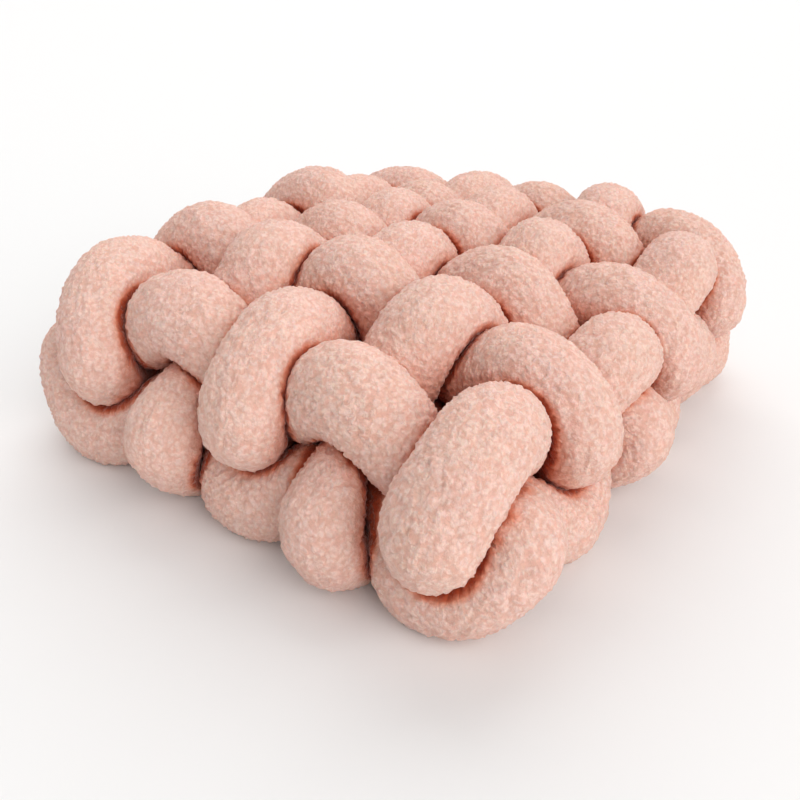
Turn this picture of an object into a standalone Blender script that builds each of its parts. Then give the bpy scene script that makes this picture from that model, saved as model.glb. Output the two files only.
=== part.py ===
"""Knot cushion: a square basket weave of eleven thick stuffed tubes.

Five warp tubes lie side by side and run from the front edge to the back edge. Six weft tubes
cross them and run from the left edge to the right edge. Each tube is a closed ring: it goes
over the top of the cushion, turns round the edge and comes back along the underside. At every
crossing it lies either outside or inside the tube that it meets, turn and turn about. Where
tubes press on each other, each keeps to its own half of the space between them, and where
the cushion stands on the ground the lowest tubes are flat.

Metres, +Z up. The origin is under the middle of the cushion, at the height it stands on.
"""
from collections import namedtuple

import bpy
import numpy as np
from mathutils.kdtree import KDTree

MM = 0.001

# The even weave
WARP_PITCH = 0.070          # from one warp tube to the next, along X
WEFT_PITCH = 0.0705         # from one weft tube to the next, along Y
TUBE_RADIUS = 0.030         # of a tube where it lies outside and nothing presses it
TURN_RADIUS = 0.029         # of its turn round the cushion's edge
INNER_RADIUS = 0.025        # of a tube where it lies inside
TUBE_WIDENING = 1.03        # its width in the plane of the cushion against its height
OUTER_HEIGHT = 0.053        # a tube's middle off the cushion's middle, where it lies outside
INNER_HEIGHT = 0.007        # the same where it lies inside
EDGE_UNDER_HEIGHT = 0.022   # and where an edge tube of the underside lies inside a turn
EDGE_TUBE_DROP = 0.003      # how much lower an edge tube rides where it lies outside
EDGE_DROOP = 0.005          # how much lower the top is at the middle of an edge
DROOP_POWER = 4             # how late the droop sets in on the way to the edge
INNER_LIFT_SHARE = 0.7      # how much of a crossing's lift reaches the inner tube of the top layer
UNDER_LIFT_SHARE = 0.4      # and the inner tube of the underside
WARP_TURN_REACH = 0.045     # from the last weft tube to the middle line of a warp tube's turn
WEFT_TURN_REACH = 0.040     # from the last warp tube to the middle line of a weft tube's turn
UNDER_TURN_REACH = 0.004    # how much further a turn reaches that wraps the bottom layer
TURN_HEIGHT = 0.005         # of a turn off the cushion's middle, when it wraps the top layer
UNDER_TURN_HEIGHT = 0.015   # the same when it wraps the bottom layer, downwards
TOP_BULGE = 0.008           # how far an edge tube bows outwards where it lies outside, on top
UNDER_BULGE = 0.020         # the same on the underside
INNER_BULGE = 0.003         # and where it lies inside
UNDER_SPREAD = 1.02         # the underside's pitch against the top's

# Fit between the tubes and the ground
CLEARANCE = 0.00095         # between a tube and its neighbours
FLOOR_PRESS = 0.007         # how far the ground flattens the lowest tubes
OWN_SHARE = 0.85            # least distance to a tube's own middle line, as a share of its radius

# Faceting
RING_STEPS = 52
RING_SIDES = 12
CURVE_SAMPLES = 400         # points along each ring's middle line for measuring distances
DENSER = 6                  # finer points for each point wanted, to place it by
BEND_WEIGHT = 0.020         # length along the curve that counts like a radian of bend
KNOT_POWER = 0.75           # how the curve's parameter grows with the distance between knots
HALVINGS = 9                # steps of the search for a pressed radius
SMOOTHING_PASSES = 3        # passes that round off the edges between pressed and free faces
SHARPEST_EDGE = 0.0015      # how far a corner may stand out from its four neighbours
EASING_PASSES = 12          # passes that draw the flat faces back from the neighbours

# How each tube departs from the even weave, in millimetres: sideways, and for the turn at its
# near end (front or left) and at its far end (back or right) the extra reach, rise and swerve.
Tube = namedtuple("Tube", "name sideways near_reach near_rise near_swerve far_reach far_rise far_swerve")
WARP = (
    Tube("warp_0", -6, -7, -1, 17, 6, 0, 0),
    Tube("warp_1", 6, 1, -5, 10, 8, 0, 0),
    Tube("warp_2", -5, -4, 2, 11, -8, 0, 0),
    Tube("warp_3", 5, 1, -21, 2, -8, 0, 0),
    Tube("warp_4", 4, 5, -16, 2, -5, 0, 0),
)
WEFT = (
    Tube("weft_0", -6, 3, -1, -8, -8, -1, -9),
    Tube("weft_1", 3, 0, 0, 0, -7, -2, -6),
    Tube("weft_2", 3, -6, 0, 0, 0, -6, 6),
    Tube("weft_3", -4, 10, 0, 0, 3, 0, 1),
    Tube("weft_4", -3, -2, 0, 0, -10, -7, 5),
    Tube("weft_5", -6, 5, 0, 0, -2, 0, -7),
)
# How each crossing on top stands off its place in the even weave, in millimetres: upwards,
# along X and along Y.
Crossings = namedtuple("Crossings", "weft_0 weft_1 weft_2 weft_3 weft_4 weft_5")
CROSSING_LIFT = (
    Crossings(6, 9, -2, 12, -8, -8),      # along warp_0
    Crossings(-1, 10, 4, 2, -7, -7),      # along warp_1
    Crossings(-4, 8, 2, 5, 0, -2),        # along warp_2
    Crossings(-10, 2, -1, 5, 4, 8),       # along warp_3
    Crossings(-12, -12, -16, -9, 2, 4),   # along warp_4
)
CROSSING_X = (
    Crossings(2, -1, 3, -1, -2, 5),       # along warp_0
    Crossings(-1, -1, 1, 0, -8, -4),      # along warp_1
    Crossings(3, -4, 0, 2, 0, 8),         # along warp_2
    Crossings(-10, -1, 0, -3, 5, -3),     # along warp_3
    Crossings(-3, -4, 14, 1, 8, -5),      # along warp_4
)
CROSSING_Y = (
    Crossings(-1, 7, -1, 1, 1, 0),        # along warp_0
    Crossings(3, -4, 5, 0, 3, -1),        # along warp_1
    Crossings(4, 7, 6, 3, -1, 2),         # along warp_2
    Crossings(0, -2, 6, -3, 3, -4),       # along warp_3
    Crossings(-2, -3, -3, -7, 0, -1),     # along warp_4
)

CLOTH_COLOUR = (0.78, 0.50, 0.41, 1.0)
CLOTH_ROUGHNESS = 0.95


def even_places(count, pitch):
    """Places of tubes side by side, centred on zero."""
    return [(index - (count - 1) / 2) * pitch for index in range(count)]


WARP_X = even_places(len(WARP), WARP_PITCH)
WEFT_Y = even_places(len(WEFT), WEFT_PITCH)


def outside_on_top(warp_index, weft_index):
    """True where the warp tube passes over the weft tube on the cushion's top."""
    return (warp_index + weft_index) % 2 == 0


def droop(warp_index, weft_index):
    """How much lower the top lies at a crossing than in the middle of the cushion."""
    across = abs(WARP_X[warp_index] / WARP_X[0])
    along = abs(WEFT_Y[weft_index] / WEFT_Y[0])
    return EDGE_DROOP * (across ** DROOP_POWER + along ** DROOP_POWER)


def ring_knots(index, tubes, across, along, turn_reach, is_warp):
    """Route of one ring as rows of x, y, z and radius.

    It goes over the top from the near edge to the far edge, round the far turn, back along the
    underside and round the near turn.
    """
    tube = tubes[index]
    place = across[index] + tube.sideways * MM
    edge = {0: -1, len(tubes) - 1: 1}.get(index, 0)

    def knot(forward, sideways, height, radius):
        return (sideways, forward, height, radius) if is_warp else (forward, sideways, height, radius)

    def crossing_radius(outer):
        return TUBE_RADIUS if outer else INNER_RADIUS

    def outer_on_top(other):
        return outside_on_top(index, other) if is_warp else not outside_on_top(other, index)

    def over_top(other):
        outer = outer_on_top(other)
        move_x = at_crossing(CROSSING_X, other)
        move_y = at_crossing(CROSSING_Y, other)
        forward, aside = (move_y, move_x) if is_warp else (move_x, move_y)
        sideways = place + edge * (TOP_BULGE if outer else INNER_BULGE) + aside
        height = OUTER_HEIGHT + lift(other) if outer else INNER_HEIGHT + lift(other) * INNER_LIFT_SHARE
        height -= EDGE_TUBE_DROP if edge and outer else 0
        return knot(along[other] + forward, sideways, height, crossing_radius(outer))

    def along_underside(other):
        outer = not outer_on_top(other)
        sideways = place + edge * (UNDER_BULGE if outer else INNER_BULGE)
        inner_height = -EDGE_UNDER_HEIGHT if edge else -INNER_HEIGHT + lift(other) * UNDER_LIFT_SHARE
        height = -OUTER_HEIGHT if outer else inner_height
        return knot(along[other] * UNDER_SPREAD, sideways * UNDER_SPREAD, height, crossing_radius(outer))

    def at_crossing(table, other):
        warp_index, weft_index = (index, other) if is_warp else (other, index)
        return table[warp_index][weft_index] * MM

    def lift(other):
        warp_index, weft_index = (index, other) if is_warp else (other, index)
        return at_crossing(CROSSING_LIFT, other) - droop(warp_index, weft_index)

    def turn(other, direction, reach, rise, swerve):
        outer = outer_on_top(other)
        forward = turn_reach + reach * MM + (0 if outer else UNDER_TURN_REACH)
        height = (TURN_HEIGHT if outer else -UNDER_TURN_HEIGHT) + rise * MM
        return knot(along[other] + direction * forward, place + swerve * MM, height, TURN_RADIUS)

    others = range(len(along))
    top = [over_top(other) for other in others]
    under = [along_underside(other) for other in reversed(others)]
    far = turn(others[-1], 1, tube.far_reach, tube.far_rise, tube.far_swerve)
    near = turn(others[0], -1, tube.near_reach, tube.near_rise, tube.near_swerve)
    return np.array([*top, far, *under, near])


def smooth_ring(knots, count):
    """Points along the closed cubic curve through the knots, closer together where it bends."""
    total = len(knots)
    step = np.linalg.norm((np.roll(knots, -1, 0) - knots)[:, :3], axis=1) ** KNOT_POWER
    system = np.zeros((total, total))
    pull = np.zeros_like(knots)
    for index in range(total):
        following = (index + 1) % total
        before, after = step[index - 1], step[index]
        system[index, index - 1] += before
        system[index, index] += 2 * (before + after)
        system[index, following] += after
        pull[index] = 6 * ((knots[following] - knots[index]) / after
                           - (knots[index] - knots[index - 1]) / before)
    bend = np.linalg.solve(system, pull)
    start = np.concatenate([[0.0], np.cumsum(step)])

    def curve(parameter):
        span = np.clip(np.searchsorted(start, parameter, "right") - 1, 0, total - 1)
        following = (span + 1) % total
        width = step[span][:, None]
        share = (parameter - start[span])[:, None] / width
        rest = 1 - share
        bow = (rest ** 3 - rest) * bend[span] + (share ** 3 - share) * bend[following]
        return rest * knots[span] + share * knots[following] + width ** 2 / 6 * bow

    dense_parameter = np.linspace(0, start[-1], DENSER * count, endpoint=False)
    dense = curve(dense_parameter)[:, :3]
    ahead = np.roll(dense, -1, 0) - dense
    stride = np.linalg.norm(ahead, axis=1)
    ahead /= stride[:, None]
    bending = np.linalg.norm(np.roll(ahead, -1, 0) - ahead, axis=1)
    travelled = np.concatenate([[0.0], np.cumsum(stride + BEND_WEIGHT * bending)])
    wanted = np.linspace(0, travelled[-1], count, endpoint=False)
    return curve(np.interp(wanted, travelled, np.append(dense_parameter, start[-1])))


def section_directions(middle, side):
    """Unit directions from each point of a ring's middle line to the corners of its section.

    The second result is how far the free section reaches that way, against the tube's radius.
    """
    forward = np.roll(middle, -1, 0) - np.roll(middle, 1, 0)
    forward /= np.linalg.norm(forward, axis=1)[:, None]
    sideways = side - (forward @ side)[:, None] * forward
    sideways /= np.linalg.norm(sideways, axis=1)[:, None]
    upright = np.cross(sideways, forward)
    angle = (np.arange(RING_SIDES) + 0.5) * 2 * np.pi / RING_SIDES
    directions = (np.cos(angle)[None, :, None] * sideways[:, None]
                  + np.sin(angle)[None, :, None] * upright[:, None])
    return directions, 1 / np.hypot(np.cos(angle) / TUBE_WIDENING, np.sin(angle))


def distance_finder(points):
    """Function that gives the distance from each of many places to the nearest of the points."""
    tree = KDTree(len(points))
    for index, point in enumerate(points):
        tree.insert(point, index)
    tree.balance()

    def distances(places):
        flat = places.reshape(-1, 3)
        found = np.array([tree.find(place)[2] for place in flat])
        return found.reshape(places.shape[:-1])
    return distances


def pressed_radius(middle, directions, free_radius, to_own, to_others):
    """Radius of each corner of a ring's sections, where its neighbours leave less than the free one."""
    def fits(radius):
        places = middle[:, None] + directions * radius[..., None]
        own = to_own(places)
        return (own + CLEARANCE <= to_others(places)) & (own >= OWN_SHARE * radius)

    high = free_radius
    low = np.where(fits(high), high, 0.0)
    for _ in range(HALVINGS):
        guess = (low + high) / 2
        good = fits(guess)
        low = np.where(good, np.maximum(low, guess), low)
        high = np.where(good, high, guess)
    for _ in range(SMOOTHING_PASSES):
        along = (np.roll(low, 1, 0) + np.roll(low, -1, 0)) / 2
        around = (np.roll(low, 1, 1) + np.roll(low, -1, 1)) / 2
        low = np.minimum(low, (along + around) / 2 + SHARPEST_EDGE)
    return low


def eased_radius(middle, directions, radius, to_own, to_others):
    """The pressed radius, drawn in until the flat faces between the corners keep clear as well."""
    for _ in range(EASING_PASSES):
        corners = middle[:, None] + directions * radius[..., None]
        ahead = np.roll(corners, -1, 0)
        beside = np.roll(corners, -1, 1)
        across = np.roll(ahead, -1, 1)
        cut = np.zeros_like(radius)
        for centre, shifts in (((corners + ahead) / 2, ((0, 0), (1, 0))),
                               ((corners + beside) / 2, ((0, 0), (0, 1))),
                               ((corners + across) / 2, ((0, 0), (1, 1))),
                               ((ahead + beside) / 2, ((1, 0), (0, 1)))):
            excess = np.maximum(to_own(centre) + CLEARANCE - to_others(centre), 0.0)
            for shift in shifts:
                cut = np.maximum(cut, np.roll(excess, shift, (0, 1)))
        radius = radius - cut / 2
    return radius


def ring_material(name):
    """Matt pink cloth."""
    material = bpy.data.materials.new(name)
    material.use_nodes = True
    shader = material.node_tree.nodes["Principled BSDF"]
    shader.inputs["Base Color"].default_value = CLOTH_COLOUR
    shader.inputs["Roughness"].default_value = CLOTH_ROUGHNESS
    shader.inputs["Metallic"].default_value = 0.0
    material.diffuse_color = CLOTH_COLOUR
    return material


def ring_object(name, corners):
    """Closed ring of four-sided faces through the corners of its sections."""
    steps, sides = corners.shape[:2]
    faces = []
    for step in range(steps):
        following = (step + 1) % steps
        for side in range(sides):
            beside = (side + 1) % sides
            faces.append((step * sides + side, following * sides + side,
                          following * sides + beside, step * sides + beside))
    mesh = bpy.data.meshes.new(name)
    mesh.from_pydata(corners.reshape(-1, 3).tolist(), [], faces)
    mesh.shade_smooth()
    mesh.materials.append(ring_material(name))
    ring = bpy.data.objects.new(name, mesh)
    bpy.context.scene.collection.objects.link(ring)
    return ring


def middle_lines():
    """Every ring's knots, by name, moved so that the cushion stands centred on the origin."""
    rings = {}
    for index, tube in enumerate(WARP):
        rings[tube.name] = ring_knots(index, WARP, WARP_X, WEFT_Y, WARP_TURN_REACH, True)
    for index, tube in enumerate(WEFT):
        rings[tube.name] = ring_knots(index, WEFT, WEFT_Y, WARP_X, WEFT_TURN_REACH, False)
    lines = np.concatenate([smooth_ring(knots, CURVE_SAMPLES) for knots in rings.values()])
    lowest = (lines[:, :3] - lines[:, 3:]).min(0)
    highest = (lines[:, :3] + lines[:, 3:]).max(0)
    middle = (lowest + highest) / 2
    shift = np.array([-middle[0], -middle[1], -lowest[2] - FLOOR_PRESS, 0.0])
    return {name: knots + shift for name, knots in rings.items()}


def build_cushion():
    """All eleven rings."""
    rings = middle_lines()
    lines = {name: smooth_ring(knots, CURVE_SAMPLES)[:, :3] for name, knots in rings.items()}
    for name, knots in rings.items():
        side = np.array([1.0, 0.0, 0.0] if name.startswith("warp") else [0.0, 1.0, 0.0])
        route = smooth_ring(knots, RING_STEPS)
        middle = route[:, :3]
        directions, widening = section_directions(middle, side)
        free_radius = route[:, 3:] * widening
        to_own = distance_finder(lines[name])
        others = np.concatenate([line for other, line in lines.items() if other != name])
        to_others = distance_finder(others)
        radius = pressed_radius(middle, directions, free_radius, to_own, to_others)
        radius = eased_radius(middle, directions, radius, to_own, to_others)
        corners = middle[:, None] + directions * radius[..., None]
        corners[..., 2] = np.maximum(corners[..., 2], 0.0)
        ring_object(name, corners)


for leftover in list(bpy.data.objects):
    bpy.data.objects.remove(leftover)
build_cushion()
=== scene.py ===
"""Knot cushion, dressed: eleven stuffed tubes of curly peach-pink pile on a pale floor.

Each tube's middle line is worked out from the sizes of the solids. Round it goes a smooth surface
that keeps to its own half of the space between neighbours, and on that stands the curled pile.
"""
import math
from collections import namedtuple

import bpy
import numpy as np
from mathutils import Matrix, Vector
from mathutils.bvhtree import BVHTree
from mathutils.kdtree import KDTree


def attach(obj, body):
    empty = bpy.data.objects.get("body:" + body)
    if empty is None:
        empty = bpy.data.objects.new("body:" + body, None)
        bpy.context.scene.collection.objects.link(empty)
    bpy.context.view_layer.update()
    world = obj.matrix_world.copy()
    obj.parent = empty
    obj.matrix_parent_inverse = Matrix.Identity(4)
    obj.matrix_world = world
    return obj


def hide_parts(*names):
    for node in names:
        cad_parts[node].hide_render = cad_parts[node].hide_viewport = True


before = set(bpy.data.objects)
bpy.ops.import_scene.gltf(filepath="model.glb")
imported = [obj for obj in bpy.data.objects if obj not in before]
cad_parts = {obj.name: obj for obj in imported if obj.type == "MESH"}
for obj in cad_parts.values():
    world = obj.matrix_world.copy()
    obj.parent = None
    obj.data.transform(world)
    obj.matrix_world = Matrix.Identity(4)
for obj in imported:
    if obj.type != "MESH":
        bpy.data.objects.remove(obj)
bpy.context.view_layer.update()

MM = 0.001

# The even weave, as in the solids
WARP_PITCH = 0.070          # from one warp tube to the next, along X
WEFT_PITCH = 0.0705         # from one weft tube to the next, along Y
TUBE_RADIUS = 0.030         # of a tube where it lies outside and nothing presses it
TURN_RADIUS = 0.029         # of its turn round the cushion's edge
INNER_RADIUS = 0.025        # of a tube where it lies inside
TUBE_WIDENING = 1.03        # its width in the plane of the cushion against its height
OUTER_HEIGHT = 0.053        # a tube's middle off the cushion's middle, where it lies outside
INNER_HEIGHT = 0.007        # the same where it lies inside
EDGE_UNDER_HEIGHT = 0.022   # and where an edge tube of the underside lies inside a turn
EDGE_TUBE_DROP = 0.003      # how much lower an edge tube rides where it lies outside
EDGE_DROOP = 0.005          # how much lower the top is at the middle of an edge
DROOP_POWER = 4             # how late the droop sets in on the way to the edge
INNER_LIFT_SHARE = 0.7      # how much of a crossing's lift reaches the inner tube of the top layer
UNDER_LIFT_SHARE = 0.4      # and the inner tube of the underside
WARP_TURN_REACH = 0.045     # from the last weft tube to the middle line of a warp tube's turn
WEFT_TURN_REACH = 0.040     # from the last warp tube to the middle line of a weft tube's turn
UNDER_TURN_REACH = 0.004    # how much further a turn reaches that wraps the bottom layer
TURN_HEIGHT = 0.005         # of a turn off the cushion's middle, when it wraps the top layer
UNDER_TURN_HEIGHT = 0.015   # the same when it wraps the bottom layer, downwards
TOP_BULGE = 0.008           # how far an edge tube bows outwards where it lies outside, on top
UNDER_BULGE = 0.020         # the same on the underside
INNER_BULGE = 0.003         # and where it lies inside
UNDER_SPREAD = 1.02         # the underside's pitch against the top's
FLOOR_PRESS = 0.007         # how far the ground flattens the lowest tubes
KNOT_POWER = 0.75           # how the curve's parameter grows with the distance between knots
CURVE_SAMPLES = 400         # points along each ring's middle line for measuring distances
PLACING_SAMPLES = 2400      # finer points along it, to space the others evenly by

# How each tube departs from the even weave, in millimetres: sideways, and for the turn at its
# near end (front or left) and at its far end (back or right) the extra reach, rise and swerve.
Tube = namedtuple("Tube", "name sideways near_reach near_rise near_swerve far_reach far_rise far_swerve")
WARP = (
    Tube("warp_0", -6, -7, -1, 17, 6, 0, 0),
    Tube("warp_1", 6, 1, -5, 10, 8, 0, 0),
    Tube("warp_2", -5, -4, 2, 11, -8, 0, 0),
    Tube("warp_3", 5, 1, -21, 2, -8, 0, 0),
    Tube("warp_4", 4, 5, -16, 2, -5, 0, 0),
)
WEFT = (
    Tube("weft_0", -6, 3, -1, -8, -8, -1, -9),
    Tube("weft_1", 3, 0, 0, 0, -7, -2, -6),
    Tube("weft_2", 3, -6, 0, 0, 0, -6, 6),
    Tube("weft_3", -4, 10, 0, 0, 3, 0, 1),
    Tube("weft_4", -3, -2, 0, 0, -10, -7, 5),
    Tube("weft_5", -6, 5, 0, 0, -2, 0, -7),
)
# How each crossing on top stands off its place in the even weave, in millimetres: upwards,
# along X and along Y. Rows are warp tubes and columns weft tubes.
CROSSING_LIFT = (
    (6, 9, -2, 12, -8, -8),
    (-1, 10, 4, 2, -7, -7),
    (-4, 8, 2, 5, 0, -2),
    (-10, 2, -1, 5, 4, 8),
    (-12, -12, -16, -9, 2, 4),
)
CROSSING_X = (
    (2, -1, 3, -1, -2, 5),
    (-1, -1, 1, 0, -8, -4),
    (3, -4, 0, 2, 0, 8),
    (-10, -1, 0, -3, 5, -3),
    (-3, -4, 14, 1, 8, -5),
)
CROSSING_Y = (
    (-1, 7, -1, 1, 1, 0),
    (3, -4, 5, 0, 3, -1),
    (4, 7, 6, 3, -1, 2),
    (0, -2, 6, -3, 3, -4),
    (-2, -3, -3, -7, 0, -1),
)

# Fit between the tubes
GAP = 0.0004                # that neighbouring tubes leave between them, before the pile
OWN_SHARE = 0.80            # least distance to a tube's own middle line, as a share of its radius
FREE_SHARE = 0.98           # of the free radius, above which nothing presses the cloth
HALVINGS = 9                # steps of the search for a pressed radius
ROUNDING_PASSES = 10        # rounds off the rim of a pressed face

# Fineness of the cloth surface
FIELD_STEPS = 216           # sections measured along each ring
FIELD_SIDES = 48            # and corners round each section
FINE_STEPS = 560     # the same on the finished surface
FINE_SIDES = 79
HIDDEN_WEIGHT = 0.22        # fineness where a neighbour presses, against the free cloth
UNDER_WEIGHT = 0.5          # and on the underside
UNDERSIDE_SLOPE = -0.6      # upward part of the unit normal below which cloth is underside
SPREADING_PASSES = 8        # spreads the finer places a little beyond the free cloth
LEAST_LENGTH = 1e-12        # that a vector is divided by

# Pile in the mesh
NUB_SIZE = 0.0036           # middle to middle of the curls
NUB_HEIGHT = 0.0014
NUB_REACH = 0.85            # from a curl's middle to its foot, in sizes
TUFT_SIZE = 0.009           # middle to middle of groups of curls
TUFT_HEIGHT = 0.0010
TUFT_REACH = 0.9
FUZZ_SIZE = NUB_SIZE / 2    # of single tufts that stand out of the rest
FUZZ_HEIGHT = 0.0008
STIR_SIZE = 0.006           # of the noise that bends the rows of curls out of line
STIR = 0.0016               # how far it moves them
STIR_SHIFTS = ((0.0, 0.0, 0.0), (0.31, 0.17, 0.53), (0.71, 0.43, 0.29))    # along X, Y and Z
LUMP_SIZE = 0.030           # slow unevenness of the filling
LUMP_HEIGHT = 0.0012

# Whole numbers that turn the cells of a grid into even noise
CELL_FACTORS = (73856093, 19349663, 83492791)
FIRST_MIX = (1103515245, 12345)
LATER_MIXES = ((15, 2246822519), (13, 3266489917))
LAST_SHIFT = 16
WORD = 0xFFFFFFFF           # the largest number of 32 bits
SEED_SALTS = (11, 23, 37)   # along X, Y and Z
NOISE_SALT = 53
FUZZ_SALT = 71

# How deep a place lies in a crease, which sets the painted crease shade
CREASE_SHADE_LAYER = "crease_shade"
TOUCH_REACH = 0.006         # how close to a neighbour the painted crease shade reaches
RAY_COUNT = 12              # rays that find how far the tubes shut a place in
RAY_START = 0.001           # off the cloth
RAY_REACH = 0.065
SHUT_IN_SHARE = 0.8         # painted shade is lighter in a hole between tubes than along the line where they touch
GOLDEN_ANGLE = math.pi * (3 - math.sqrt(5))

# Colours of the cloth, with painted shade between the curls and in the creases
CLOTH_PEACH = (0.85, 0.61, 0.51, 1.0)
CLOTH_ROSE = (0.85, 0.595, 0.535, 1.0)
# painted shade in the gaps between the curls
CURL_GAP_SHADE_TINT = (0.89, 0.75, 0.70, 1.0)
# painted shade in the creases: a red tint at their rims and a dark red deep in them
CREASE_SHADE_TINT = (0.93, 0.55, 0.41, 1.0)
CREASE_SHADE_COLOUR = (0.42, 0.07, 0.025, 1.0)
CREASE_RIM = (0.30, 0.80)   # depths between which the painted shade tint comes in
CREASE_DEEP = (0.72, 1.0)   # and the dark painted shade colour
CLOTH_FINISH = {
    "Roughness": 0.95,
    "Specular IOR Level": 0.15,
    "Sheen Weight": 0.5,
    "Sheen Roughness": 0.4,
    "Sheen Tint": (1.0, 0.66, 0.58, 1.0),
    "Subsurface Weight": 0.25,
    "Subsurface Radius": (1.0, 0.35, 0.2),
    "Subsurface Scale": 0.004,
}

# Fine curls and fibres in the material
Noise = namedtuple("Noise", "scale detail roughness distortion")
CURL_SIZE = 0.0029          # middle to middle
CURL_STIR = 1.6 * CURL_SIZE     # how far the curls are moved out of line
CURL_STIR_NOISE = Noise(0.8 / CURL_SIZE, 2.0, 0.5, 0.0)
CURL_BLEND = 0.8            # how softly one curl meets the next
CURL_DOME = (0.1, 0.65)     # distance from its middle to a curl's top and to its foot, in sizes
CURL_GAPS = (0.0, 0.7)      # heights of a curl between which the painted shade of the gaps fades
FIBRES = Noise(620.0, 2.0, 0.6, 1.2)
FIBRE_TONES = (0.92, 1.08)
FIBRE_RELIEF = 0.8          # against the curls
MOTTLE = Noise(130.0, 2.0, 0.5, 0.6)
MOTTLE_TONES = (0.96, 1.04)
CLOUDS = Noise(22.0, 4.0, 0.5, 0.0)
NOISE_SPAN = (0.3, 0.7)     # where nearly all of a noise's values lie
BUMP_STRENGTH = 0.5
BUMP_DISTANCE = 0.0014

# Sockets of a colour mix node, whose names repeat
MIX_FACTOR = 0
MIX_FIRST = 6
MIX_SECOND = 7
MIX_RESULT = 2

# Floor
FLOOR_REACH = 30.0
FLOOR_COLOUR = (0.84, 0.84, 0.84, 1.0)
FLOOR_ROUGHNESS = 0.9

# Studio light: white surroundings and soft patches of light
SURROUNDINGS = (1.0, 1.0, 1.0, 1.0)
WORLD_LIGHT = 0.36
LIGHT_WIDTH = 60.0          # degrees of sky
LIGHT_COLOUR = (1.0, 0.99, 0.98)
Patch = namedtuple("Patch", "name direction power")
LIGHTS = (
    Patch("right", (1.0, -0.2, 0.65), 1.95),
    Patch("back", (-0.5, 0.85, 0.9), 1.65),
    Patch("front", (0.5, -0.85, 1.1), 0.25),
    Patch("left", (-1.0, -0.3, 1.0), 0.35),
)

# Camera, fitted to the photograph
CAMERA_AZIMUTH = 31.92
CAMERA_ELEVATION = 25.85
CAMERA_ROLL = 2.918
CAMERA_DISTANCE = 0.68
CAMERA_ASIDE = (-0.0068, -0.0193)
WEAVE_MIDDLE = (0.00345, -0.00258, 0.07701)     # where the even weave's middle stands
FOCAL_PIXELS = 834.6
AXIS_PIXELS = (23.5, -61.2)     # from the picture's middle to the lens's axis, right and down
IMAGE_PIXELS = 800
SENSOR_WIDTH = 36.0
NEAREST_SEEN = 0.01
FARTHEST_SEEN = 50.0


def even_places(count, pitch):
    """Places of tubes side by side, centred on zero."""
    return [(index - (count - 1) / 2) * pitch for index in range(count)]


WARP_X = even_places(len(WARP), WARP_PITCH)
WEFT_Y = even_places(len(WEFT), WEFT_PITCH)


def outside_on_top(warp_index, weft_index):
    """True where the warp tube passes over the weft tube on the cushion's top."""
    return (warp_index + weft_index) % 2 == 0


def droop(warp_index, weft_index):
    """How much lower the top lies at a crossing than in the middle of the cushion."""
    across = abs(WARP_X[warp_index] / WARP_X[0])
    along = abs(WEFT_Y[weft_index] / WEFT_Y[0])
    return EDGE_DROOP * (across ** DROOP_POWER + along ** DROOP_POWER)


def ring_knots(index, tubes, across, along, turn_reach, is_warp):
    """Route of one ring as rows of x, y, z and radius.

    It goes over the top from the near edge to the far edge, round the far turn, back along the
    underside and round the near turn.
    """
    tube = tubes[index]
    place = across[index] + tube.sideways * MM
    edge = {0: -1, len(tubes) - 1: 1}.get(index, 0)

    def knot(forward, sideways, height, radius):
        return (sideways, forward, height, radius) if is_warp else (forward, sideways, height, radius)

    def crossing_radius(outer):
        return TUBE_RADIUS if outer else INNER_RADIUS

    def outer_on_top(other):
        return outside_on_top(index, other) if is_warp else not outside_on_top(other, index)

    def at_crossing(table, other):
        warp_index, weft_index = (index, other) if is_warp else (other, index)
        return table[warp_index][weft_index] * MM

    def lift(other):
        warp_index, weft_index = (index, other) if is_warp else (other, index)
        return at_crossing(CROSSING_LIFT, other) - droop(warp_index, weft_index)

    def over_top(other):
        outer = outer_on_top(other)
        move_x = at_crossing(CROSSING_X, other)
        move_y = at_crossing(CROSSING_Y, other)
        forward, aside = (move_y, move_x) if is_warp else (move_x, move_y)
        sideways = place + edge * (TOP_BULGE if outer else INNER_BULGE) + aside
        height = OUTER_HEIGHT + lift(other) if outer else INNER_HEIGHT + lift(other) * INNER_LIFT_SHARE
        height -= EDGE_TUBE_DROP if edge and outer else 0
        return knot(along[other] + forward, sideways, height, crossing_radius(outer))

    def along_underside(other):
        outer = not outer_on_top(other)
        sideways = place + edge * (UNDER_BULGE if outer else INNER_BULGE)
        inner_height = -EDGE_UNDER_HEIGHT if edge else -INNER_HEIGHT + lift(other) * UNDER_LIFT_SHARE
        height = -OUTER_HEIGHT if outer else inner_height
        return knot(along[other] * UNDER_SPREAD, sideways * UNDER_SPREAD, height, crossing_radius(outer))

    def turn(other, direction, reach, rise, swerve):
        outer = outer_on_top(other)
        forward = turn_reach + reach * MM + (0 if outer else UNDER_TURN_REACH)
        height = (TURN_HEIGHT if outer else -UNDER_TURN_HEIGHT) + rise * MM
        return knot(along[other] + direction * forward, place + swerve * MM, height, TURN_RADIUS)

    others = range(len(along))
    top = [over_top(other) for other in others]
    under = [along_underside(other) for other in reversed(others)]
    far = turn(others[-1], 1, tube.far_reach, tube.far_rise, tube.far_swerve)
    near = turn(others[0], -1, tube.near_reach, tube.near_rise, tube.near_swerve)
    return np.array([*top, far, *under, near])


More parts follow.
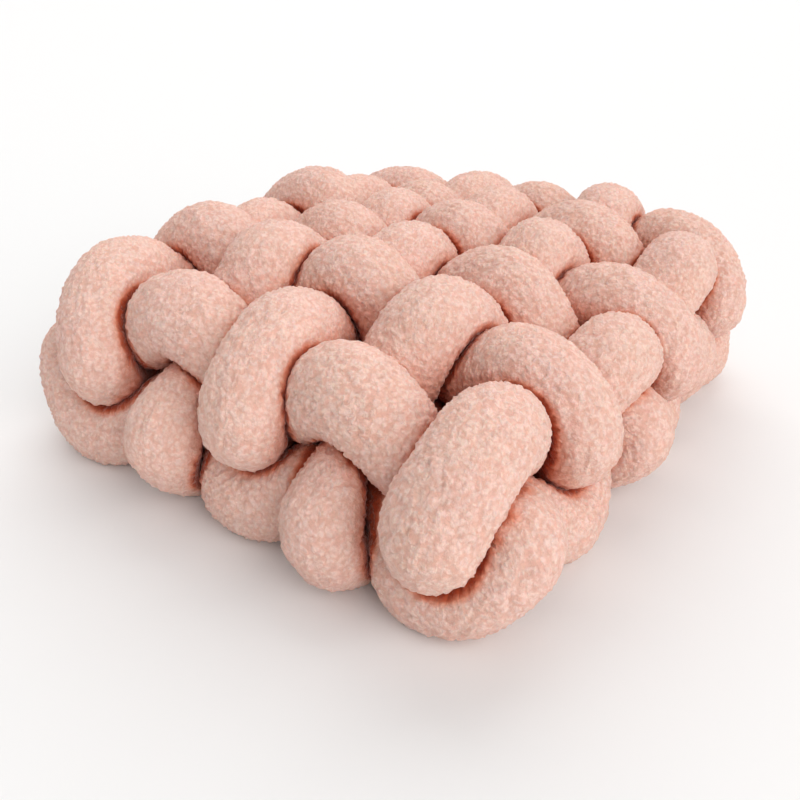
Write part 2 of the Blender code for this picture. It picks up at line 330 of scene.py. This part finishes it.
def ring_curve(knots):
    """The closed cubic curve through the knots, as a function, and the length of its parameter."""
    total = len(knots)
    step = np.linalg.norm((np.roll(knots, -1, 0) - knots)[:, :3], axis=1) ** KNOT_POWER
    system = np.zeros((total, total))
    pull = np.zeros_like(knots)
    for index in range(total):
        following = (index + 1) % total
        before, after = step[index - 1], step[index]
        system[index, index - 1] += before
        system[index, index] += 2 * (before + after)
        system[index, following] += after
        pull[index] = 6 * ((knots[following] - knots[index]) / after
                           - (knots[index] - knots[index - 1]) / before)
    bend = np.linalg.solve(system, pull)
    start = np.concatenate([[0.0], np.cumsum(step)])

    def curve(parameter):
        span = np.clip(np.searchsorted(start, parameter, "right") - 1, 0, total - 1)
        following = (span + 1) % total
        width = step[span][:, None]
        share = (parameter - start[span])[:, None] / width
        rest = 1 - share
        bow = (rest ** 3 - rest) * bend[span] + (share ** 3 - share) * bend[following]
        return rest * knots[span] + share * knots[following] + width ** 2 / 6 * bow
    return curve, start[-1]


def smooth_ring(knots, count):
    """Points spread evenly along the closed curve through the knots."""
    curve, end = ring_curve(knots)
    parameter = np.linspace(0, end, PLACING_SAMPLES, endpoint=False)
    dense = curve(parameter)[:, :3]
    stride = np.linalg.norm(np.roll(dense, -1, 0) - dense, axis=1)
    travelled = np.concatenate([[0.0], np.cumsum(stride)])
    wanted = np.linspace(0, travelled[-1], count, endpoint=False)
    return curve(np.interp(wanted, travelled, np.append(parameter, end)))


def middle_lines():
    """Every ring's knots, by name, moved so that the cushion stands centred on the origin."""
    rings = {}
    for index, tube in enumerate(WARP):
        rings[tube.name] = ring_knots(index, WARP, WARP_X, WEFT_Y, WARP_TURN_REACH, True)
    for index, tube in enumerate(WEFT):
        rings[tube.name] = ring_knots(index, WEFT, WEFT_Y, WARP_X, WEFT_TURN_REACH, False)
    lines = np.concatenate([smooth_ring(knots, CURVE_SAMPLES) for knots in rings.values()])
    lowest = (lines[:, :3] - lines[:, 3:]).min(0)
    highest = (lines[:, :3] + lines[:, 3:]).max(0)
    middle = (lowest + highest) / 2
    shift = np.array([-middle[0], -middle[1], -lowest[2] - FLOOR_PRESS, 0.0])
    return {name: knots + shift for name, knots in rings.items()}


def distance_finder(points):
    """Function that gives the distance from each of many places to the nearest of the points."""
    tree = KDTree(len(points))
    for index, point in enumerate(points):
        tree.insert(point, index)
    tree.balance()

    def distances(places):
        flat = places.reshape(-1, 3)
        found = np.array([tree.find(place)[2] for place in flat])
        return found.reshape(places.shape[:-1])
    return distances


def section_directions(middle, side, sides):
    """Unit directions to the corners of each section, and the free section's reach that way."""
    forward = np.roll(middle, -1, 0) - np.roll(middle, 1, 0)
    forward /= np.linalg.norm(forward, axis=1)[:, None]
    sideways = side - (forward @ side)[:, None] * forward
    sideways /= np.linalg.norm(sideways, axis=1)[:, None]
    upright = np.cross(sideways, forward)
    angle = np.arange(sides) * 2 * np.pi / sides
    directions = (np.cos(angle)[None, :, None] * sideways[:, None]
                  + np.sin(angle)[None, :, None] * upright[:, None])
    return directions, 1 / np.hypot(np.cos(angle) / TUBE_WIDENING, np.sin(angle))


def pressed_radius(middle, directions, free_radius, to_own, to_others):
    """Radius of each corner of the sections, where the neighbours leave less than the free one."""
    def fits(radius, where):
        places = middle[where[0]] + directions[where] * radius[:, None]
        own = to_own(places)
        return (own + GAP <= to_others(places)) & (own >= OWN_SHARE * radius)

    every = np.indices(directions.shape[:2]).reshape(2, -1)
    radius = free_radius.ravel().copy()
    tight = np.flatnonzero(~fits(radius, (every[0], every[1])))
    where = (every[0][tight], every[1][tight])
    low = np.zeros(len(tight))
    high = radius[tight]
    for _ in range(HALVINGS):
        guess = (low + high) / 2
        good = fits(guess, where)
        low = np.where(good, guess, low)
        high = np.where(good, high, guess)
    radius[tight] = low
    return radius.reshape(directions.shape[:2])


def blurred(field):
    """The field averaged with its neighbours along and around the ring."""
    along = (np.roll(field, 1, 0) + 2 * field + np.roll(field, -1, 0)) / 4
    return (np.roll(along, 1, 1) + 2 * along + np.roll(along, -1, 1)) / 4


def cubic_weights(share):
    """Shares of the four values round a place, for cubic interpolation."""
    return (
        ((-share + 2) * share - 1) * share / 2,
        ((3 * share - 5) * share * share + 2) / 2,
        ((-3 * share + 4) * share + 1) * share / 2,
        ((share - 1) * share * share) / 2,
    )


def read_along(field, places):
    """Rows of a closed field at fractional row places."""
    base = np.floor(places).astype(int)
    spread = (slice(None),) + (None,) * (field.ndim - 1)
    total = 0.0
    for offset, weight in zip((-1, 0, 1, 2), cubic_weights(places - base)):
        total = total + weight[spread] * field[(base + offset) % len(field)]
    return total


def read_around(field, places):
    """For each row of a field, its values at fractional column places of that row."""
    base = np.floor(places).astype(int)
    rows = np.arange(len(field))[:, None]
    total = 0.0
    for offset, weight in zip((-1, 0, 1, 2), cubic_weights(places - base)):
        total = total + weight[..., None] * field[rows, (base + offset) % field.shape[1]]
    return total


def spread_places(weight, count):
    """Fractional places in each row of weights, closer together where the weight is high."""
    gathered = np.concatenate([np.zeros((len(weight), 1)), np.cumsum(weight, 1)], 1)
    wanted = np.arange(count) / count
    index = np.arange(weight.shape[1] + 1)
    return np.stack([np.interp(wanted * row[-1], row, index) for row in gathered])


def hashed(cells, salt):
    """Numbers from 0 to 1 that depend only on whole-numbered cells and on the salt."""
    mixed = salt
    for axis, factor in enumerate(CELL_FACTORS):
        mixed = (cells[..., axis] * factor) ^ mixed
    factor, extra = FIRST_MIX
    mixed = ((mixed & WORD) * factor + extra) & WORD
    for shift, factor in LATER_MIXES:
        mixed = (((mixed >> shift) ^ mixed) * factor) & WORD
    return ((mixed >> LAST_SHIFT) ^ mixed) / WORD


def nearest_seed(places, size):
    """Distance from each place to the nearest of seeds strewn one to a cell, in cells."""
    scaled = places / size
    base = np.floor(scaled).astype(np.int64)
    best = np.full(len(places), np.inf)
    for offset in np.ndindex(3, 3, 3):
        cell = base + np.array(offset) - 1
        seed = cell + np.stack([hashed(cell, salt) for salt in SEED_SALTS], -1)
        best = np.minimum(best, np.linalg.norm(seed - scaled, axis=1))
    return best


def slow_noise(places, size):
    """Smooth noise from -1 to 1."""
    scaled = places / size
    base = np.floor(scaled).astype(np.int64)
    share = scaled - base
    share = share * share * (3 - 2 * share)
    total = np.zeros(len(places))
    for offset in np.ndindex(2, 2, 2):
        corner = np.array(offset)
        weight = np.prod(np.where(corner == 1, share, 1 - share), axis=1)
        total += weight * hashed(base + corner, NOISE_SALT)
    return total * 2 - 1


def dome(places, size, reach):
    """Round humps packed side by side: one on top, zero from their foot on."""
    return 1 - np.minimum(nearest_seed(places, size) / reach, 1.0) ** 2


def pile_height(places):
    """How far the pile stands out at each place."""
    stir = np.stack([slow_noise(places + np.array(shift), STIR_SIZE) for shift in STIR_SHIFTS], -1)
    moved = places + STIR * stir
    curl = dome(moved, NUB_SIZE, NUB_REACH)
    tuft = dome(moved, TUFT_SIZE, TUFT_REACH)
    fuzz = hashed(np.floor(places / FUZZ_SIZE).astype(np.int64), FUZZ_SALT)
    return (NUB_HEIGHT * (curl - 0.5) + TUFT_HEIGHT * (tuft - 0.5)
            + FUZZ_HEIGHT * (2 * fuzz - 1) + LUMP_HEIGHT * slow_noise(places, LUMP_SIZE))


def grid_normals(points):
    """Outward unit normals of a closed grid of points."""
    along = np.roll(points, -1, 0) - np.roll(points, 1, 0)
    around = np.roll(points, -1, 1) - np.roll(points, 1, 1)
    normal = np.cross(along, around)
    return normal / np.maximum(np.linalg.norm(normal, axis=2), LEAST_LENGTH)[..., None]


def smooth_surface(name, knots, lines):
    """Corners of one tube's surface without its pile, rows along the ring and columns around it.

    With them come one or zero for free or pressed cloth, and how close each is to a neighbour, for the
    painted crease shade.
    """
    side = np.array([1.0, 0.0, 0.0] if name.startswith("warp") else [0.0, 1.0, 0.0])
    route = smooth_ring(knots, FIELD_STEPS)
    middle = route[:, :3]
    directions, widening = section_directions(middle, side, FIELD_SIDES)
    free_radius = route[:, 3:] * widening
    to_own = distance_finder(lines[name])
    to_others = distance_finder(np.concatenate([line for other, line in lines.items() if other != name]))
    radius = pressed_radius(middle, directions, free_radius, to_own, to_others)
    free = (radius > FREE_SHARE * free_radius).astype(float)
    for _ in range(ROUNDING_PASSES):
        radius = np.minimum(radius, blurred(radius))
    corners = middle[:, None] + directions * radius[..., None]
    touch = np.clip(1 - (to_others(corners) - TUBE_RADIUS) / TOUCH_REACH, 0.0, 1.0)
    return corners, free, touch


def grid_faces(steps, sides):
    """Four-sided faces of a closed grid, as rows of corner numbers."""
    step, side = np.meshgrid(np.arange(steps), np.arange(sides), indexing="ij")
    following, beside = (step + 1) % steps, (side + 1) % sides
    return np.stack([step * sides + side, following * sides + side,
                     following * sides + beside, step * sides + beside], -1).reshape(-1, 4)


def tube_tree(surfaces):
    """All the smooth surfaces in one tree, for casting rays."""
    faces = grid_faces(FIELD_STEPS, FIELD_SIDES)
    every = np.concatenate([faces + index * FIELD_STEPS * FIELD_SIDES for index in range(len(surfaces))])
    corners = np.concatenate([surface.reshape(-1, 3) for surface in surfaces])
    return BVHTree.FromPolygons(corners.tolist(), every.tolist())


def shut_in(corners, tree):
    """Share of the space over each corner that the tubes shut off, from 0 to 1."""
    normal = grid_normals(corners)
    along = np.roll(corners, -1, 0) - np.roll(corners, 1, 0)
    along /= np.linalg.norm(along, axis=2)[..., None]
    across = np.cross(normal, along)
    starts = (corners + normal * RAY_START).reshape(-1, 3).tolist()
    stopped = np.zeros(corners.shape[:2])
    for index in range(RAY_COUNT):
        share = (index + 0.5) / RAY_COUNT
        flat, turn = math.sqrt(share), index * GOLDEN_ANGLE
        ray = flat * (math.cos(turn) * along + math.sin(turn) * across) + math.sqrt(1 - share) * normal
        hits = [tree.ray_cast(start, heading, RAY_REACH)[0] is not None
                for start, heading in zip(starts, ray.reshape(-1, 3).tolist())]
        stopped += np.reshape(hits, stopped.shape)
    return blurred(blurred(stopped / RAY_COUNT))


def pile_surface(corners, free, touch, tree):
    """Corners of one tube's finished surface, and how deep each lies in a crease, from 0 to 1, which sets
    the painted crease shade.
    """
    # painted crease shade: the larger of how shut in a place is and how near it lies to a neighbour
    crease_shade = np.maximum(SHUT_IN_SHARE * shut_in(corners, tree), touch)
    underside = grid_normals(corners)[..., 2] < UNDERSIDE_SLOPE
    weight = np.where(underside, UNDER_WEIGHT * free, free)
    for _ in range(SPREADING_PASSES):
        weight = blurred(weight)
    weight = HIDDEN_WEIGHT + (1 - HIDDEN_WEIGHT) * weight
    places = spread_places(weight.mean(1)[None], FINE_STEPS)[0]
    field = read_along(np.concatenate([corners, crease_shade[..., None]], 2), places)
    field = read_around(field, spread_places(read_along(weight, places), FINE_SIDES))
    corners = field[..., :3]
    height = pile_height(corners.reshape(-1, 3)).reshape(corners.shape[:2])
    corners = corners + grid_normals(corners) * height[..., None]
    corners[..., 2] = np.maximum(corners[..., 2], 0.0)
    return corners, np.clip(field[..., 3], 0.0, 1.0)


def cloth_object(name, corners, crease_shade, material):
    """Closed ring of four-sided faces through the corners."""
    faces = grid_faces(*corners.shape[:2])
    mesh = bpy.data.meshes.new(name)
    mesh.vertices.add(corners.shape[0] * corners.shape[1])
    mesh.vertices.foreach_set("co", corners.reshape(-1))
    mesh.loops.add(faces.size)
    mesh.loops.foreach_set("vertex_index", faces.reshape(-1).astype(np.int32))
    mesh.polygons.add(len(faces))
    mesh.polygons.foreach_set("loop_start", np.arange(0, faces.size, faces.shape[1], dtype=np.int32))
    mesh.update(calc_edges=True)
    mesh.shade_smooth()
    mesh.attributes.new(CREASE_SHADE_LAYER, "FLOAT", "POINT").data.foreach_set("value", crease_shade.reshape(-1))
    mesh.materials.append(material)
    cloth = bpy.data.objects.new(name, mesh)
    bpy.context.scene.collection.objects.link(cloth)
    return cloth


class Wiring:
    """Adds nodes to a material's tree and links them."""

    def __init__(self, tree):
        self.tree = tree
        self.place = self.node("ShaderNodeTexCoord").outputs["Object"]

    def node(self, kind, **values):
        """A new node, with some of its settings."""
        made = self.tree.nodes.new(kind)
        for key, value in values.items():
            setattr(made, key, value)
        return made

    def feed(self, socket, value):
        """Gives the socket a constant, or links it to another node's socket."""
        if isinstance(value, (tuple, float)):
            socket.default_value = value
        else:
            self.tree.links.new(value, socket)

    def noise(self, kind):
        """A noise texture at the object's own places."""
        made = self.node("ShaderNodeTexNoise")
        self.feed(made.inputs["Scale"], kind.scale)
        self.feed(made.inputs["Detail"], kind.detail)
        self.feed(made.inputs["Roughness"], kind.roughness)
        self.feed(made.inputs["Distortion"], kind.distortion)
        self.feed(made.inputs["Vector"], self.place)
        return made

    def spread(self, value, span, ends):
        """The value with its span drawn out to the ends, and held there outside the span."""
        made = self.node("ShaderNodeMapRange")
        self.feed(made.inputs["From Min"], span[0])
        self.feed(made.inputs["From Max"], span[1])
        self.feed(made.inputs["To Min"], ends[0])
        self.feed(made.inputs["To Max"], ends[1])
        self.feed(made.inputs["Value"], value)
        return made.outputs["Result"]

    def mixed(self, first, second, factor, blend_type="MIX"):
        """The second colour over the first."""
        made = self.node("ShaderNodeMix", data_type="RGBA", blend_type=blend_type)
        self.feed(made.inputs[MIX_FACTOR], factor)
        self.feed(made.inputs[MIX_FIRST], first)
        self.feed(made.inputs[MIX_SECOND], second)
        return made.outputs[MIX_RESULT]

    def curls(self):
        """Round curls packed side by side and stirred out of line: one on top, zero between them."""
        stirred = self.node("ShaderNodeVectorMath", operation="MULTIPLY_ADD")
        self.feed(stirred.inputs[0], self.noise(CURL_STIR_NOISE).outputs["Color"])
        self.feed(stirred.inputs[1], (CURL_STIR, CURL_STIR, CURL_STIR))
        self.feed(stirred.inputs[2], self.place)
        packed = self.node("ShaderNodeTexVoronoi", feature="SMOOTH_F1")
        self.feed(packed.inputs["Scale"], 1 / CURL_SIZE)
        self.feed(packed.inputs["Smoothness"], CURL_BLEND)
        self.feed(packed.inputs["Vector"], stirred.outputs[0])
        return self.spread(packed.outputs["Distance"], CURL_DOME, (1.0, 0.0))


def cloth_colour_and_shade(wiring, curls, fibres):
    """Colour of the pile: cloudy, with a little painted shade between the curls and red and dark painted
    shade in the creases.
    """
    clouds = wiring.noise(CLOUDS).outputs["Fac"]
    mottle = wiring.noise(MOTTLE).outputs["Fac"]
    crease_shade = wiring.node("ShaderNodeAttribute", attribute_name=CREASE_SHADE_LAYER).outputs["Fac"]
    colour = wiring.mixed(CLOTH_PEACH, CLOTH_ROSE, clouds)
    # painted shade between the curls, where they are low
    colour = wiring.mixed(colour, CURL_GAP_SHADE_TINT, wiring.spread(curls, CURL_GAPS, (1.0, 0.0)), "MULTIPLY")
    colour = wiring.mixed(colour, wiring.spread(mottle, NOISE_SPAN, MOTTLE_TONES), 1.0, "MULTIPLY")
    colour = wiring.mixed(colour, wiring.spread(fibres, NOISE_SPAN, FIBRE_TONES), 1.0, "MULTIPLY")
    # painted shade in the creases: a red tint at their rims, then a dark red deep in them
    colour = wiring.mixed(colour, CREASE_SHADE_TINT, wiring.spread(crease_shade, CREASE_RIM, (0.0, 1.0)), "MULTIPLY")
    return wiring.mixed(colour, CREASE_SHADE_COLOUR, wiring.spread(crease_shade, CREASE_DEEP, (0.0, 1.0)))


def cloth_relief(wiring, curls, fibres):
    """Normal of the pile, with the relief of its curls and fibres."""
    height = wiring.node("ShaderNodeMath", operation="MULTIPLY_ADD")
    wiring.feed(height.inputs[0], fibres)
    wiring.feed(height.inputs[1], FIBRE_RELIEF)
    wiring.feed(height.inputs[2], curls)
    bump = wiring.node("ShaderNodeBump")
    wiring.feed(bump.inputs["Strength"], BUMP_STRENGTH)
    wiring.feed(bump.inputs["Distance"], BUMP_DISTANCE)
    wiring.feed(bump.inputs["Height"], height.outputs[0])
    return bump.outputs["Normal"]


def cloth_material():
    """Curly peach-pink pile."""
    material = bpy.data.materials.new("curly_pile")
    material.use_nodes = True
    shader = material.node_tree.nodes["Principled BSDF"]
    for socket, value in CLOTH_FINISH.items():
        shader.inputs[socket].default_value = value
    wiring = Wiring(material.node_tree)
    curls = wiring.curls()
    fibres = wiring.noise(FIBRES).outputs["Fac"]
    wiring.feed(shader.inputs["Base Color"], cloth_colour_and_shade(wiring, curls, fibres))
    wiring.feed(shader.inputs["Normal"], cloth_relief(wiring, curls, fibres))
    return material


def floor_object():
    """Wide pale floor."""
    mesh = bpy.data.meshes.new("floor")
    corners = [(x * FLOOR_REACH, y * FLOOR_REACH, 0) for x, y in ((-1, -1), (1, -1), (1, 1), (-1, 1))]
    mesh.from_pydata(corners, [], [(0, 1, 2, 3)])
    material = bpy.data.materials.new("pale_floor")
    material.use_nodes = True
    shader = material.node_tree.nodes["Principled BSDF"]
    shader.inputs["Base Color"].default_value = FLOOR_COLOUR
    shader.inputs["Roughness"].default_value = FLOOR_ROUGHNESS
    mesh.materials.append(material)
    floor = bpy.data.objects.new("floor", mesh)
    bpy.context.scene.collection.objects.link(floor)
    return floor


def sky_light(patch):
    """Even light from a wide patch of the sky."""
    light = bpy.data.lights.new(patch.name, "SUN")
    light.angle = math.radians(LIGHT_WIDTH)
    light.energy = patch.power
    light.color = LIGHT_COLOUR
    lamp = bpy.data.objects.new(patch.name, light)
    lamp.location = patch.direction
    lamp.rotation_mode = "QUATERNION"
    lamp.rotation_quaternion = Vector(patch.direction).to_track_quat("Z", "Y")
    bpy.context.scene.collection.objects.link(lamp)


def photo_camera():
    """Camera at the photograph's place."""
    azimuth, elevation, roll = (math.radians(a) for a in (CAMERA_AZIMUTH, CAMERA_ELEVATION, CAMERA_ROLL))
    back = Vector((math.sin(azimuth) * math.cos(elevation), -math.cos(azimuth) * math.cos(elevation),
                   math.sin(elevation)))
    level = Vector((0, 0, 1)).cross(back).normalized()
    upright = back.cross(level)
    right = level * math.cos(roll) + upright * math.sin(roll)
    up = upright * math.cos(roll) - level * math.sin(roll)
    data = bpy.data.cameras.new("camera")
    data.sensor_width = SENSOR_WIDTH
    data.lens = FOCAL_PIXELS / IMAGE_PIXELS * data.sensor_width
    data.shift_x = -AXIS_PIXELS[0] / IMAGE_PIXELS
    data.shift_y = AXIS_PIXELS[1] / IMAGE_PIXELS
    data.clip_start = NEAREST_SEEN
    data.clip_end = FARTHEST_SEEN
    camera = bpy.data.objects.new("camera", data)
    place = Vector(WEAVE_MIDDLE) + back * CAMERA_DISTANCE + right * CAMERA_ASIDE[0] + up * CAMERA_ASIDE[1]
    turn = Matrix((right, up, back)).transposed()
    camera.matrix_world = Matrix.Translation(place) @ turn.to_4x4()
    bpy.context.scene.collection.objects.link(camera)
    bpy.context.scene.camera = camera


def studio():
    """Pale floor, white surroundings and soft lights."""
    floor_object()
    bpy.context.scene.view_settings.view_transform = "Standard"
    world = bpy.data.worlds.new("studio")
    world.use_nodes = True
    background = world.node_tree.nodes["Background"]
    background.inputs["Color"].default_value = SURROUNDINGS
    background.inputs["Strength"].default_value = WORLD_LIGHT
    bpy.context.scene.world = world
    for patch in LIGHTS:
        sky_light(patch)


rings = middle_lines()
ring_lines = {name: smooth_ring(knots, CURVE_SAMPLES)[:, :3] for name, knots in rings.items()}
smooth = {name: smooth_surface(name, knots, ring_lines) for name, knots in rings.items()}
tubes = tube_tree([parts[0] for parts in smooth.values()])
pile = cloth_material()
for ring_name, parts in smooth.items():
    piece = cloth_object(ring_name + "_pile", *pile_surface(*parts, tubes), pile)
    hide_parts(ring_name)
    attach(piece, "root")

studio()
photo_camera()
